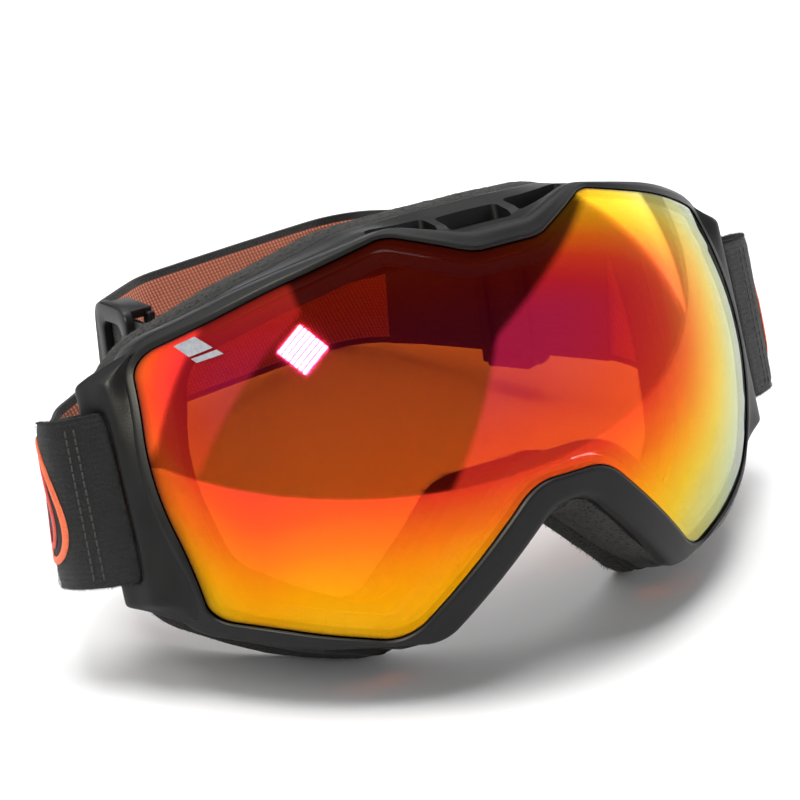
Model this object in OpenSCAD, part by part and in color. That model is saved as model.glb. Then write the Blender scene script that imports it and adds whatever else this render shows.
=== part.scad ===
// Ski goggles with a spherical double lens, moulded frame, three-layer face foam
// and an elastic strap with two adjusting sliders.
// Millimetres, +Z up, lens towards -Y. The goggles rest on the lower foam lobes
// and on the back of the strap, with the frame leaning back.

/* [Lens] */
// Radius of the sphere the outer lens is cut from
lens_r = 98; // [92:1:110]
// Thickness of the outer lens
lens_t = 1.4; // [1:0.1:2]
// Air gap between the two lenses
lens_gap = 4.6; // [3:0.1:6]
// Thickness of the inner lens
inner_t = 1; // [0.7:0.1:1.5]
// Width of the foam gasket that joins the two lenses
spacer_w = 3; // [2:0.1:5]

/* [Frame] */
// Angle the goggles lean back at rest
lean = 23; // [0:1:35]
// Wall thickness of the moulded frame
frame_t = 2.2; // [1.6:0.1:3]
// Depth of the face line at the middle of the brow, behind the lens centre
face_y = -56; // [-62:1:-50]
// Radius of the face line in plan
face_r = 92; // [86:1:120]

/* [Foam] */
// Thickness of the firm foam glued to the frame
base_t = 4.5; // [3:0.5:6]
// Thickness of the soft foam
core_t = 8; // [6:0.5:12]
// Thickness of the fleece against the skin
fleece_t = 1.5; // [1:0.1:2]

/* [Strap] */
// Width of the elastic strap
strap_w = 40; // [35:1:50]
// Thickness of the elastic strap
strap_t = 1.8; // [1.2:0.1:2.5]
// Swing of the strap about the two frame slots
swing = 0; // [-15:1:20]
// Left slider moved along the strap
slide_l = 0; // [-6:0.5:6]
// Right slider moved along the strap
slide_r = 0; // [-20:0.5:20]

/* [Hidden] */
glue = 0.2;
inner_r = lens_r - lens_t - lens_gap;
foam_t = base_t + core_t + fleece_t;
// Inset of the gasket from the lens edge
spacer_in = 2.8;
// Slot and bar places, in the goggles' own frame
slot_x = 87;
slot_y = -44.5;
bar_x = 90;
bar_r = 1.4;
// Where the moving strap starts, outside each slot
cut_x = 97.2;
// Height of the sphere centre and its place along Y, at rest
seat_z = 29.83;
seat_y = 1.34;
// World place of the slot axis
axis_y = slot_y * cos(lean) + seat_y;
axis_z = -slot_y * sin(lean) + seat_z;
arc_n = 4;
mid_n = 2;
// Longest straight run of strap between two stations
path_step = 4;

// Half outlines: corner x, corner z, corner radius, from the brow down to the nose
lens_half = [[9, 36.9, 14], [27, 45, 9], [54, 38.7, 120], [79.6, 30.3, 8],
  [83.4, 2, 70], [76.3, -32, 8], [57, -40.5, 100], [40.5, -46.2, 9], [10, -16.6, 13]];
rim_half = [[8, 41.7, 12], [24.5, 47, 14], [54, 41.8, 120], [81, 33.2, 11],
  [85.6, 2, 70], [79.8, -34.3, 13], [60, -43.8, 60], [31.5, -49.2, 8], [4.5, -23.2, 10]];
back_half = [[8, 48.4, 30], [28, 47.8, 30], [52, 40.8, 60], [75, 31.2, 18],
  [80.8, 2, 80], [75.5, -33, 13], [58, -45.5, 60], [36, -52, 10], [7, -26.5, 10]];
hole_half = [[8, 36, 20], [26, 36.2, 20], [48, 33.6, 60], [64, 26.5, 12],
  [68.5, 2, 60], [64, -22, 12], [52, -31.5, 40], [38, -39.5, 8], [14, -15, 10]];

function unit(v) = v / norm(v);
function mix(a, b, t) = a + (b - a) * t;
function left(v) = [-v[1], v[0]];
function pick(list, i) = list[(i + len(list)) % len(list)];
function xz(v) = [v[0], v[1]];

// Points of one rounded corner between the corners before and after it
function corner(a, b, c, r, n) =
  let (u = unit(a - b), v = unit(c - b), h = acos(u * v) / 2,
    m = b + unit(u + v) * r / sin(h), p = b + u * r / tan(h), q = b + v * r / tan(h),
    s = cross(p - m, q - m) > 0 ? 1 : -1, w = 180 - 2 * h)
  [for (i = [0:n]) let (t = s * w * i / n, d = p - m)
    m + [d[0] * cos(t) - d[1] * sin(t), d[0] * sin(t) + d[1] * cos(t)]];

// A closed outline: the half list and its mirror, each corner rounded
function closed(half) =
  let (n = len(half), all = concat(half, [for (i = [n - 1:-1:0]) [-half[i][0], half[i][1], half[i][2]]]),
    arcs = [for (i = [0:2 * n - 1])
      corner(xz(pick(all, i - 1)), xz(all[i]), xz(pick(all, i + 1)), all[i][2], arc_n)])
  [for (i = [0:2 * n - 1]) each concat(arcs[i],
    [for (k = [1:mid_n]) mix(arcs[i][arc_n], pick(arcs, i + 1)[0], k / (mid_n + 1))])];

// An open rounded path through corners given as x, y, radius, with no long straight left whole
function open_path(v) =
  let (n = len(v), arcs = [for (i = [0:n - 1]) (i == 0 || i == n - 1) ? [xz(v[i])]
    : corner(xz(v[i - 1]), xz(v[i]), xz(v[i + 1]), v[i][2], 2 * arc_n)])
  [for (i = [0:n - 1]) each concat(arcs[i], i == n - 1 ? [] :
    let (a = arcs[i][len(arcs[i]) - 1], b = arcs[i + 1][0], m = floor(norm(b - a) / path_step))
    [for (k = [1:1:m]) mix(a, b, k / (m + 1))])];

// The outline moved outwards by d
function grown(loop, d) =
  [for (i = [0:len(loop) - 1]) loop[i] + left(unit(pick(loop, i + 1) - pick(loop, i - 1))) * d];

lens_loop = closed(lens_half);
rim_loop = closed(rim_half);
back_loop = closed(back_half);
hole_loop = closed(hole_half);
stations = len(lens_loop);

function on_ball(p, r) = [p[0], -sqrt(r * r - p * p), p[1]];
function face(p) = face_y + face_r - sqrt(face_r * face_r - p[0] * p[0]) + p[1] * p[1] / 700;
function on_face(p, d) = [p[0], face(p) - d, p[1]];
function blend(a, b, t) = [for (i = [0:len(a) - 1]) mix(a[i], b[i], t)];
function ball_loop(loop, r) = [for (p = loop) on_ball(p, r)];
function face_loop(loop, d) = [for (p = loop) on_face(p, d)];

// A closed ring: every loop is one line round the outline, in order round the section
module ring(loops) {
  n = len(loops[0]);
  m = len(loops);
  polyhedron([for (l = loops) each l],
    [for (j = [0:m - 1]) for (i = [0:n - 1])
      let (k = (i + 1) % n, b = (j + 1) % m)
      each [[j * n + i, b * n + i, j * n + k], [j * n + k, b * n + i, b * n + k]]]);
}

// A closed curved plate: loops go in from the edge to a middle point, front and back
module plate(edges, r, t) {
  c = [0, 8];
  loops = concat(edges, [for (k = [0.25, 0.5, 0.75]) [for (p = edges[len(edges) - 1]) mix(p, c, k)]]);
  n = len(loops[0]);
  rings = len(loops);
  front = [for (l = loops) each ball_loop(l, r)];
  back = [for (l = loops) each ball_loop(l, r - t)];
  f = rings * n;
  tip = 2 * f;
  polyhedron(concat(front, back, [on_ball(c, r), on_ball(c, r - t)]),
    [for (i = [0:n - 1]) let (k = (i + 1) % n) each concat(
      [for (j = [0:rings - 2]) each [[j * n + i, j * n + k, (j + 1) * n + i],
        [j * n + k, (j + 1) * n + k, (j + 1) * n + i]]],
      [[f - n + i, f - n + k, tip]],
      [for (j = [0:rings - 2]) each [[f + j * n + i, f + (j + 1) * n + i, f + j * n + k],
        [f + j * n + k, f + (j + 1) * n + i, f + (j + 1) * n + k]]],
      [[2 * f - n + i, tip + 1, 2 * f - n + k]],
      [[i, f + i, k], [k, f + i, f + k]])]);
}

// Everything on the goggles is drawn in its own upright frame and then leant back
module seated() {
  translate([0, seat_y, seat_z]) rotate([-lean, 0, 0]) children();
}

module both() {
  children();
  mirror([1, 0, 0]) children();
}

// A rounded post at x, y from z0 to z1
module post(x, y, z0, z1, r) {
  translate([x, y, z0]) cylinder(h = z1 - z0, r = r, $fn = 12);
}

// Side arm with the slot and the bar the strap loops round. It runs into both rim corners
module arm() {
  link_r = 1.5;
  hull() {
    post(83.6, -50.6, -27, 27, link_r);
    post(slot_x - 0.7, slot_y - 3.9, -27, 27, link_r);
  }
  for (s = [[22, 27, 82.6, -44.6, 29, 31.5], [-27, -22, 81.8, -42.4, -32.5, -30]])
    hull() {
      post(84.2, -50, s[0], s[1], link_r);
      post(slot_x - 0.7, slot_y - 3.9, s[0], s[1], link_r);
      post(s[2], s[3], s[4], s[5], link_r);
    }
  for (s = [[20.7, 27, 23.4], [-27, -20.7, -23]]) {
    top = s[0] > 0;
    hull() {
      post(slot_x - 0.7, slot_y - 3.9, s[0], s[1], link_r);
      post(88.4, slot_y + 0.5, s[0], top ? 26.2 : s[1], link_r);
    }
    hull() {
      post(88.4, slot_y + 0.5, top ? s[0] : -26.2, top ? 26.2 : s[1], link_r);
      post(bar_x + 0.4, slot_y + 6.3, top ? s[0] : s[2], top ? s[2] : s[1], bar_r);
    }
  }
  hull() {
    post(bar_x, slot_y + 3.9, -22, 22, bar_r);
    post(bar_x + 0.4, slot_y + 6.3, -22, 22, bar_r);
  }
}

// A row of vent slots through the wall: centre x, width
module vents(list, y, z, tall, tilt) {
  for (v = list)
    translate([v[0], y + abs(v[0]) * abs(v[0]) / 260, z]) rotate([tilt, 0, 0])
      cube([v[1], 7.5, tall], center = true);
}

module frame_shell() color("#2b2c2f") seated() {
  lip = grown(lens_loop, 0.9);
  difference() {
    ring([
      ball_loop(grown(lens_loop, -2.2), lens_r - lens_t - 0.1),
      ball_loop(grown(lens_loop, 0.3), lens_r - lens_t - 0.1),
      ball_loop(grown(lens_loop, 0.3), lens_r + 0.5),
      ball_loop(lip, lens_r + 1),
      ball_loop(blend(lip, rim_loop, 0.45), lens_r + 1),
      ball_loop(blend(lip, rim_loop, 0.85), lens_r + 0.5),
      ball_loop(rim_loop, lens_r - 0.8),
      ball_loop(rim_loop, lens_r - 2.6),
      blend(ball_loop(grown(rim_loop, -0.9), lens_r - 3.2), face_loop(back_loop, foam_t + 2), 0.25),
      blend(ball_loop(rim_loop, lens_r - 3.2), face_loop(back_loop, foam_t + 2), 0.3),
      face_loop(back_loop, foam_t + 2),
      face_loop(back_loop, foam_t + 0.8),
      face_loop(grown(back_loop, -0.8), foam_t),
      face_loop(hole_loop, foam_t),
      face_loop(hole_loop, foam_t + frame_t),
      face_loop(grown(back_loop, -frame_t - 1), foam_t + frame_t),
      blend(ball_loop(grown(lens_loop, -0.4), lens_r - 6),
        face_loop(grown(back_loop, -frame_t - 1), foam_t + frame_t), 0.4),
      ball_loop(grown(lens_loop, -0.4), lens_r - 5.6),
      ball_loop(grown(lens_loop, -2.2), lens_r - lens_t - 2.4)]);
    vents([[0, 16], [-18, 15], [18, 15]], -78, 46, 12, 0);
    vents([[-44, 20], [44, 20]], -70, -47, 9, 0);
  }
  both() arm();
}

module outer_lens() color("#c8321e", 0.75) seated()
  plate([lens_loop, grown(lens_loop, -spacer_in), grown(lens_loop, -spacer_in - spacer_w)], lens_r, lens_t);

module inner_lens() color("#d8742a", 0.4) seated()
  plate([grown(lens_loop, -spacer_in), grown(lens_loop, -spacer_in - spacer_w)], inner_r, inner_t);

module lens_spacer() color("#1c1c1d") seated() {
  gap_top = lens_r - lens_t - glue;
  outside = grown(lens_loop, -spacer_in);
  inside = grown(lens_loop, -spacer_in - spacer_w);
  ring([ball_loop(outside, gap_top), ball_loop(outside, inner_r + glue),
    ball_loop(inside, inner_r + glue), ball_loop(inside, gap_top)]);
}

module foam_base() color("#222223") seated()
  ring([face_loop(back_loop, foam_t - glue),
    face_loop(grown(back_loop, 0.5), foam_t - base_t / 2),
    face_loop(back_loop, foam_t - base_t),
    face_loop(hole_loop, foam_t - base_t),
    face_loop(hole_loop, foam_t - glue)]);

module foam_core() color("#2a2a2b") seated()
  ring([face_loop(grown(back_loop, 0.2), fleece_t + core_t - glue),
    face_loop(grown(back_loop, 1.2), fleece_t + core_t / 2),
    face_loop(grown(back_loop, 0.4), fleece_t),
    face_loop(hole_loop, fleece_t),
    face_loop(grown(hole_loop, -0.8), fleece_t + core_t / 2),
    face_loop(hole_loop, fleece_t + core_t - glue)]);

module fleece_lining() color("#18181a") seated()
  ring([face_loop(grown(back_loop, 0.4), fleece_t - glue),
    face_loop(grown(back_loop, 0.2), 0.4),
    face_loop(grown(back_loop, -1.2), 0),
    face_loop(grown(hole_loop, 1.2), 0),
    face_loop(grown(hole_loop, 0.2), 0.4),
    face_loop(hole_loop, fleece_t - glue)]);

// An open run of the outline between two stations, with flat ends
module strip(loops, first, last) {
  n = last - first + 1;
  m = len(loops);
  polyhedron([for (l = loops) for (i = [first:last]) pick(l, i)],
    concat([for (j = [0:m - 1]) for (i = [0:n - 2])
      let (b = (j + 1) % m)
      each [[j * n + i, b * n + i, j * n + i + 1], [j * n + i + 1, b * n + i, b * n + i + 1]]],
      [for (j = [1:m - 2]) [(j + 1) * n, j * n, 0]],
      [for (j = [1:m - 2]) [n - 1, j * n + n - 1, (j + 1) * n + n - 1]]));
}

// Filter foam inside the wall, from one station to another
module vent_foam(first, last) {
  function inside(d, t) = blend(ball_loop(grown(lens_loop, -0.9 - d), lens_r - 8.6),
    face_loop(grown(back_loop, -frame_t - 1.5 - d), foam_t + frame_t + 0.6), t);
  strip([inside(0, 0.12), inside(0, 0.88), inside(3.6, 0.88), inside(3.6, 0.12)], first, last);
}

module brow_vent_foam() color("#6a6b6c") seated() vent_foam(15 * stations / 18, stations + 18);

module chin_vent_foam_right() color("#6a6b6c") seated() vent_foam(6 * stations / 18, 7 * stations / 18);

module chin_vent_foam_left() color("#6a6b6c")
  mirror([1, 0, 0]) seated() vent_foam(6 * stations / 18, 7 * stations / 18);

// Small plain slanted tag on the lens, near the temple corner
module lens_mark() color("#dfe3e6") seated() {
  corners = [[-72.4, 31.4], [-68.6, 32.6], [-65.2, 27.6], [-70, 26.8]];
  loop = [for (i = [0:3]) for (k = [0:3]) mix(corners[i], pick(corners, i + 1), k / 4)];
  c = [-69, 29.6];
  low_r = lens_r + 0.1;
  high_r = lens_r + 0.32;
  low = ball_loop(loop, low_r);
  high = ball_loop(loop, high_r);
  n = len(loop);
  polyhedron(concat(high, low, [on_ball(c, high_r), on_ball(c, low_r)]),
    [for (i = [0:n - 1]) let (k = (i + 1) % n)
      each [[i, k, 2 * n], [n + k, n + i, 2 * n + 1], [k, i, n + i], [k, n + i, n + k]]]);
}

// Strap, in plan: corners x, y, radius. y is measured before the seat shift
strap_start = [-cut_x - 0.15, -37, 0];
strap_finish = [cut_x + 0.15, -37, 0];
fold_left = [-102.8, -33.2, 6];
bend_left = [-86.5, -7, 12];
bulge_back = [-24, 73, 25];
bend_back = [51, 95.9, 13];
fold_right = [101.9, -33, 6];
bend_right = [95, -8, 30];
strap_plan = [strap_start, fold_left, bend_left, [-46.5, 17, 7], [-46.5, 54.5, 8], bulge_back, bend_back,
  bend_right, fold_right, strap_finish];
slope = 0.185;

// Just behind each fold the strap runs square to its leaned slot, so it falls faster there
function dip(y) = y < 14 ? 6 * pow(sin(180 * (y + 37) / 51), 2) : 0;
function drop(y) = 16.3 - slope * (y + 37) - dip(y) - (y > 62 ? 0.0021 * (y - 62) * (y - 62) : 0);
function tilt(x, y) = x > 0
  ? min(20, max(5, 20 - (y + 20) * 0.6))
  : min(16, max(5, 16 - (y + 36) * 0.7));
function tangents(path) = [for (i = [0:len(path) - 1])
  unit(path[min(i + 1, len(path) - 1)] - path[max(i - 1, 0)])];
// The same with both end faces square to X, where two pieces of strap meet
function square_ends(path) = let (n = len(path), d = tangents(path))
  [for (i = [0:n - 1]) (i == 0 || i == n - 1) ? [sign(d[i][0]), 0] : d[i]];

// A flat band standing on edge along a plan path; off moves it to the outer side
module ribbon(path, off, thick, tall, square = false) {
  dirs = square ? square_ends(path) : tangents(path);
  n = len(path);
  corners = [[-0.5, -1], [0.5, -1], [0.5, 1], [-0.5, 1]];
  polyhedron([for (i = [0:n - 1]) for (c = corners)
      let (s = left(dirs[i]) * (off + c[0] * thick), h = c[1] * tall / 2,
        t = tilt(path[i][0], path[i][1]))
      [path[i][0] + s[0], path[i][1] + seat_y + s[1] + h * sin(t),
        drop(path[i][1]) + seat_z + h * cos(t)]],
    concat([for (i = [0:n - 2]) for (c = [0:3]) let (k = (c + 1) % 4, a = 4 * i, b = 4 * i + 4)
      each [[a + c, b + c, a + k], [a + k, b + c, b + k]]],
      [[0, 1, 2, 3]], [[4 * n - 1, 4 * n - 2, 4 * n - 3, 4 * n - 4]]));
}

// Strap end looped round the slot bar, drawn for the left side.
// x is across, d is the distance behind the slot axis, before the twist
function end_twist(x, far) = x < -91 ? mix(lean, far, (-91 - x) / (cut_x - 91)) : lean;
module end_ribbon(path, off, thick, tall, far, square = false) {
  dirs = square ? square_ends(path) : tangents(path);
  n = len(path);
  corners = [[-0.5, -1], [0.5, -1], [0.5, 1], [-0.5, 1]];
  polyhedron([for (i = [0:n - 1]) for (c = corners)
      let (p = path[i] + left(dirs[i]) * (off + c[0] * thick), h = c[1] * tall / 2,
        t = end_twist(p[0], far))
      [p[0], axis_y + p[1] * cos(t) + h * sin(t), axis_z - p[1] * sin(t) + h * cos(t)]],
    concat([for (i = [0:n - 2]) for (c = [0:3]) let (k = (c + 1) % 4, a = 4 * i, b = 4 * i + 4)
      each [[a + c, b + c, a + k], [a + k, b + c, b + k]]],
      [[0, 1, 2, 3]], [[4 * n - 1, 4 * n - 2, 4 * n - 3, 4 * n - 4]]));
}

end_plan = [[-cut_x, 6.1, 0], [-91.4, 10.1, 2.6], [-87, 9.2, 2.2], [-86.9, -1.1, 1.8], [-cut_x, 4.15, 0]];
end_path = open_path(end_plan);
stitch_path = [[-94.2, 2.62], [-95.4, 3.23], [-96.6, 3.84]];

module strap_end_left() color("#1f1f20")
  end_ribbon(end_path, 0, strap_t, strap_w, 16, true);

module strap_end_right() color("#1f1f20")
  mirror([1, 0, 0]) end_ribbon(end_path, 0, strap_t, strap_w, 20, true);

module end_stitching_left() color("#3a3a3b")
  end_ribbon(stitch_path, strap_t / 2 + 0.2, 0.3, strap_w - 5, 16);

module end_stitching_right() color("#3a3a3b")
  mirror([1, 0, 0]) end_ribbon(stitch_path, strap_t / 2 + 0.2, 0.3, strap_w - 5, 20);

// Everything on the strap swings about the line through the two slots
module swung() {
  translate([0, axis_y, axis_z]) rotate([swing, 0, 0]) translate([0, -axis_y, -axis_z]) children();
}

module strap_band() color("#1f1f20") swung()
  ribbon(open_path(strap_plan), 0, strap_t, strap_w, true);

module strap_return_left() color("#b5603a") swung()
  ribbon(open_path([[-67.5, 4.4, 0], [-46.5, 17, 7], [-46.5, 48.6, 0]]),
    -strap_t - 0.1, strap_t, strap_w - 1);

module strap_return_right() color("#b5603a") swung()
  ribbon([[57.9, 79.6], [65.75, 61.05], [73.6, 42.5], [86.5, 12]], -strap_t - 0.1, strap_t, strap_w - 1);

// Raised stitching stands on the outer face, from just past the sewn end round the fold
stitch_t = 0.5;
stitch_gap = 0.35;
stitch_off = strap_t / 2 + stitch_gap + stitch_t / 2;

module embroidery_left() color("#d8492a") swung()
  ribbon(open_path([mix(strap_start, fold_left, 0.06), fold_left, mix(fold_left, bend_left, 0.4)]),
    stitch_off, stitch_t, 28);

module embroidery_right() color("#d8492a") swung()
  ribbon(open_path([mix(bend_right, fold_right, 0.6), fold_right, mix(fold_right, strap_finish, 0.85)]),
    stitch_off, stitch_t, 28);

// Adjusting slider: an outer frame with a window, two inner bars and two end blocks.
// x runs along the strap, +y is the outer side
slider_l = 18;
slider_h = 48;
module slider() {
  outer_y = strap_t / 2 + 0.35;
  inner_y = -strap_t * 1.5 - 0.1 - 0.35;
  open_h = strap_w + 1.4;
  difference() {
    translate([0, outer_y + 2.4, 0]) rotate([90, 0, 0]) linear_extrude(2.4)
      rounded(slider_l, slider_h, 4);
    translate([0, outer_y + 3, 0]) rotate([90, 0, 0]) linear_extrude(4)
      rounded(slider_l - 7.6, open_h - 3, 2.5);
  }
  for (s = [-1, 1]) {
    translate([s * (slider_l / 2 - 2.2), inner_y - 1, 0])
      cube([3.6, 2, slider_h - 4], center = true);
    translate([0, (outer_y + 0.2 + inner_y - 2) / 2, s * (open_h / 2 + 1.2)])
      cube([slider_l - 4, outer_y + 0.2 - inner_y + 2, 2.4], center = true);
  }
}

module rounded(w, h, r) {
  for (x = [-1, 1]) for (y = [-1, 1])
    translate([x * (w / 2 - r), y * (h / 2 - r)]) circle(r, $fn = 32);
  square([w - 2 * r, h], center = true);
  square([w, h - 2 * r], center = true);
}

left_mid = [-46.5, 35.1];
right_mid = [73.6, 42.5];
right_heading = atan2(-128.5, 54.4);
right_rise = atan(slope * sin(-right_heading));
right_cant = -asin(sin(5) * cos(right_heading));

module slider_left() color("#303133") swung()
  translate([left_mid[0], left_mid[1] + seat_y, drop(left_mid[1]) + seat_z])
    rotate([0, 0, 90]) rotate([0, atan(slope), 0]) translate([slide_l, 0, 0]) slider();

module slider_right() color("#303133") swung()
  translate([right_mid[0], right_mid[1] + seat_y, drop(right_mid[1]) + seat_z])
    rotate([0, 0, right_heading]) rotate([0, -right_rise, 0]) rotate([right_cant, 0, 0])
      translate([slide_r, 0, 0]) slider();

frame_shell();
outer_lens();
inner_lens();
lens_spacer();
lens_mark();
brow_vent_foam();
chin_vent_foam_left();
chin_vent_foam_right();
foam_base();
foam_core();
fleece_lining();
strap_end_left();
strap_end_right();
end_stitching_left();
end_stitching_right();
strap_band();
strap_return_left();
strap_return_right();
embroidery_left();
embroidery_right();
slider_left();
slider_right();
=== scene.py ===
import math

import bmesh
import bpy
import numpy as np
from mathutils import Matrix, Vector


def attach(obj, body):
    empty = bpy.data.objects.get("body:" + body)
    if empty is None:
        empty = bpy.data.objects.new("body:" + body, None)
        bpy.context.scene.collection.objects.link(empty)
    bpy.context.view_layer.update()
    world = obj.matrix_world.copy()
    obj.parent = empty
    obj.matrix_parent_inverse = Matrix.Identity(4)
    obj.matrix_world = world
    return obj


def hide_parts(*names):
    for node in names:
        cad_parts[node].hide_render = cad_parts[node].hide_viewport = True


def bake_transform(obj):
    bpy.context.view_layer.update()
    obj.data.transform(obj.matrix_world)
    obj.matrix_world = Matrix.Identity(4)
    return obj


# Outlines and sizes are in millimetres, as in the part's source. Meshes are in metres.
MM = 0.001

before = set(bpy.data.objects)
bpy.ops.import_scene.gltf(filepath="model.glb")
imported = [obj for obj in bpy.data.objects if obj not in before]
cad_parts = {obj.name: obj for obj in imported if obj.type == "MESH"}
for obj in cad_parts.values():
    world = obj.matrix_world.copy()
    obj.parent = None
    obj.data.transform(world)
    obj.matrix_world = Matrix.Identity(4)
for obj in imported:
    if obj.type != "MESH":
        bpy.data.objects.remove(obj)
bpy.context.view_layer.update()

# ---- driving sizes

LENS_R = 98.0
LENS_T = 1.4
LENS_GAP = 4.6
INNER_T = 1.0
SPACER_W = 3.0
SPACER_IN = 2.8
INNER_R = LENS_R - LENS_T - LENS_GAP
LEAN = math.radians(23)
FRAME_T = 2.2
FACE_Y = -56.0
FACE_R = 92.0
FACE_BOW = 700.0
BASE_T = 4.5
CORE_T = 8.0
FLEECE_T = 1.5
FOAM_T = BASE_T + CORE_T + FLEECE_T
STRAP_W = 40.0
STRAP_T = 1.8
SEAT_Y = 1.34
SEAT_Z = 29.83
SLOT_Y = -44.5
AXIS_Y = SLOT_Y * math.cos(LEAN) + SEAT_Y
AXIS_Z = -SLOT_Y * math.sin(LEAN) + SEAT_Z
SLOPE = 0.185
CUT_X = 97.2
LENS_BORDER = 0.35

# Half outlines: corner x, corner z, corner radius, from the brow down to the nose
LENS_HALF = [(9, 36.9, 14), (27, 45, 9), (54, 38.7, 120), (79.6, 30.3, 8), (83.4, 2, 70),
             (76.3, -32, 8), (57, -40.5, 100), (40.5, -46.2, 9), (10, -16.6, 13)]
RIM_HALF = [(8, 41.7, 12), (24.5, 47, 14), (54, 41.8, 120), (81, 33.2, 11), (85.6, 2, 70),
            (79.8, -34.3, 13), (60, -43.8, 60), (31.5, -49.2, 8), (4.5, -23.2, 10)]
BACK_HALF = [(8, 48.4, 30), (28, 47.8, 30), (52, 40.8, 60), (75, 31.2, 18), (80.8, 2, 80),
             (75.5, -33, 13), (58, -45.5, 60), (36, -52, 10), (7, -26.5, 10)]
HOLE_HALF = [(8, 36, 20), (26, 36.2, 20), (48, 33.6, 60), (64, 26.5, 12), (68.5, 2, 60),
             (64, -22, 12), (52, -31.5, 40), (38, -39.5, 8), (14, -15, 10)]
ARC_STEPS = 12
STRAIGHT_STEPS = 12
SIDE_NAME = {-1: "left", 1: "right"}


# ---- outline helpers

def unit(v):
    return v / np.linalg.norm(v, axis=-1, keepdims=True)


def smooth(x, low, high):
    t = np.clip((np.asarray(x, float) - low) / (high - low), 0, 1)
    return t * t * (3 - 2 * t)


def corner(a, b, c, r, n):
    """Points of a rounded corner at b, between the corners a and c."""
    a, b, c = (np.array(p[:2], float) for p in (a, b, c))
    u, v = unit(a - b), unit(c - b)
    half = math.acos(np.clip(u @ v, -1, 1)) / 2
    m = b + unit(u + v) * r / math.sin(half)
    p, q = b + u * r / math.tan(half), b + v * r / math.tan(half)
    d, e = p - m, q - m
    side = 1 if d[0] * e[1] - d[1] * e[0] > 0 else -1
    angles = side * (math.pi - 2 * half) * np.arange(n + 1) / n
    return [m + [d[0] * math.cos(t) - d[1] * math.sin(t), d[0] * math.sin(t) + d[1] * math.cos(t)]
            for t in angles]


def closed(half):
    """A closed outline from a half list and its mirror, with the same stations in every outline."""
    points = half + [(-x, z, r) for x, z, r in reversed(half)]
    n = len(points)
    arcs = [corner(points[i - 1], points[i], points[(i + 1) % n], points[i][2], ARC_STEPS)
            for i in range(n)]
    out = []
    for i in range(n):
        out += arcs[i]
        a, b = arcs[i][-1], arcs[(i + 1) % n][0]
        out += [a + (b - a) * k / (STRAIGHT_STEPS + 1) for k in range(1, STRAIGHT_STEPS + 1)]
    return np.array(out)


def open_path(points, step):
    """An open rounded path through corners given as x, y, radius, with a point every step or less."""
    n = len(points)
    arcs = [[np.array(p[:2], float)] if i in (0, n - 1)
            else corner(points[i - 1], p, points[i + 1], p[2], 16) for i, p in enumerate(points)]
    out = []
    for i in range(n):
        out += arcs[i]
        if i < n - 1:
            a, b = arcs[i][-1], arcs[i + 1][0]
            m = int(np.linalg.norm(b - a) / step)
            out += [a + (b - a) * k / (m + 1) for k in range(1, m + 1)]
    return np.array(out)


def outline_normals(loop):
    d = unit(np.roll(loop, -1, 0) - np.roll(loop, 1, 0))
    return np.stack([-d[:, 1], d[:, 0]], 1)


def grown(loop, d):
    """The outline moved outwards by d, one number or one for each station."""
    return loop + outline_normals(loop) * np.broadcast_to(np.asarray(d, float), len(loop))[:, None]


def ball(loop, r):
    x, z = loop[:, 0], loop[:, 1]
    return np.stack([x, -np.sqrt(r * r - x * x - z * z), z], 1)


def face(loop, d):
    """The outline on the curved face line, d in front of it."""
    x, z = loop[:, 0], loop[:, 1]
    return np.stack([x, FACE_Y + FACE_R - np.sqrt(FACE_R ** 2 - x * x) + z * z / FACE_BOW - d, z], 1)


def blend(a, b, t):
    return a + (b - a) * t


def arc_length(points):
    """How far along an open line each of its points lies."""
    return np.r_[0, np.cumsum(np.linalg.norm(np.diff(points, axis=0), axis=1))]


LENS = closed(LENS_HALF)
RIM = closed(RIM_HALF)
BACK = closed(BACK_HALF)
HOLE = closed(HOLE_HALF)
STATIONS = len(LENS)
CORNER_STATIONS = ARC_STEPS + STRAIGHT_STEPS + 1


def seated(points):
    """From the goggles' own upright frame to the resting pose."""
    p = np.asarray(points, float)
    c, s = math.cos(LEAN), math.sin(LEAN)
    return np.stack([p[..., 0], p[..., 1] * c + p[..., 2] * s + SEAT_Y,
                     -p[..., 1] * s + p[..., 2] * c + SEAT_Z], -1)


def on_floor(points):
    """Flattens what would go below the surface that the goggles rest on."""
    points = points.copy()
    points[..., 2] = np.maximum(points[..., 2], 0.0)
    return points


# ---- mesh helpers

def linked(name, data):
    """A new object that holds the data, in the scene."""
    obj = bpy.data.objects.new(name, data)
    bpy.context.scene.collection.objects.link(obj)
    return obj


def mesh_of(bm, name):
    mesh = bpy.data.meshes.new(name)
    bm.to_mesh(mesh)
    bm.free()
    return mesh


def shade(mesh, angle):
    """Smooth shading, apart from edges sharper than angle, in degrees."""
    mesh.shade_smooth()
    mesh.set_sharp_from_angle(angle=math.radians(angle))


def make_object(name, verts, faces, mat=None, body=None, replaces=(), smooth_angle=40):
    mesh = bpy.data.meshes.new(name)
    mesh.from_pydata([tuple(v) for v in np.asarray(verts) * MM], [], [tuple(f) for f in faces])
    mesh.validate()
    bm = bmesh.new()
    bm.from_mesh(mesh)
    bmesh.ops.recalc_face_normals(bm, faces=bm.faces)
    bm.to_mesh(mesh)
    bm.free()
    shade(mesh, smooth_angle)
    obj = linked(name, mesh)
    if mat:
        mesh.materials.append(mat)
    if body:
        finish_piece(obj, body, replaces)
    return obj


def finish_piece(obj, body, replaces=()):
    """body is a CAD body's name, or a function that is run on the piece in its place."""
    if callable(body):
        body(obj)
    else:
        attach(obj, body)
    if replaces:
        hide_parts(*replaces)


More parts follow.
